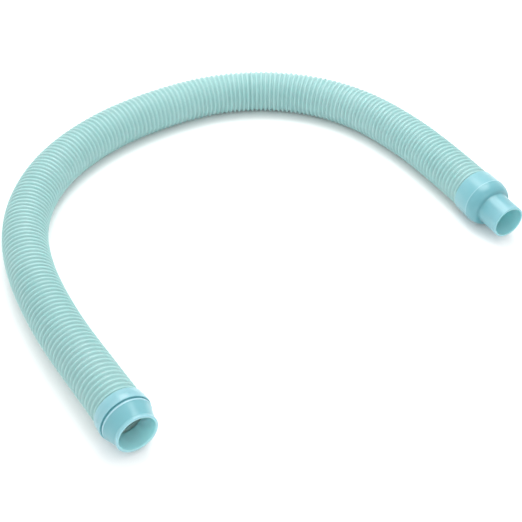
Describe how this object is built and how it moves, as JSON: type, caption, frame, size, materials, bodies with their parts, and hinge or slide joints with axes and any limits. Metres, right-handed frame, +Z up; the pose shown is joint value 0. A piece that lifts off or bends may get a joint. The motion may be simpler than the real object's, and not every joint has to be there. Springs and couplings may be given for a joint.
{
  "type": "pool cleaner hose section",
  "caption": "Flexible corrugated suction hose section lying in a U, with a push-fit socket cuff on one end and a spigot cuff on the other.",
  "frame": {"origin": "on the ground under the centre of the bounding box, with the hose lying on the ground", "axes": "+Z up from the ground; the U is closed at +Y and open towards -Y, with the socket cuff at -X and the spigot cuff at +X"},
  "size_m": [0.5719, 0.5873, 0.0542],
  "materials": {
    "hose_plastic": "satin",
    "cuff_plastic": "satin"
  },
  "bodies": {
    "socket_end": {"female_cuff": "cuff_plastic", "hose_link_1": "hose_plastic"},
    "bend_a": {"hose_link_2": "hose_plastic"},
    "bend_b": {"hose_link_3": "hose_plastic"},
    "spigot_end": {"hose_link_4": "hose_plastic", "male_cuff": "cuff_plastic"}
  },
  "joints": [
    {"name": "flex_1", "type": "hinge", "parent": "socket_end", "child": "bend_a", "pos_m": [-0.22831, -0.1001, 0.025], "axis": [0, 0, -1], "range_deg": [-45, 25], "stiffness_Nm_per_rad": 0.8, "deforming": ["hose_link_1", "hose_link_2"]},
    {"name": "flex_2", "type": "hinge", "parent": "bend_a", "child": "bend_b", "pos_m": [-0.16859, 0.20088, 0.025], "axis": [0, 0, -1], "range_deg": [-45, 25], "stiffness_Nm_per_rad": 0.8, "deforming": ["hose_link_2", "hose_link_3"]},
    {"name": "flex_3", "type": "hinge", "parent": "bend_b", "child": "spigot_end", "pos_m": [0.13613, 0.21313, 0.025], "axis": [0, 0, -1], "range_deg": [-45, 25], "stiffness_Nm_per_rad": 0.8, "deforming": ["hose_link_3", "hose_link_4"]}
  ]
}
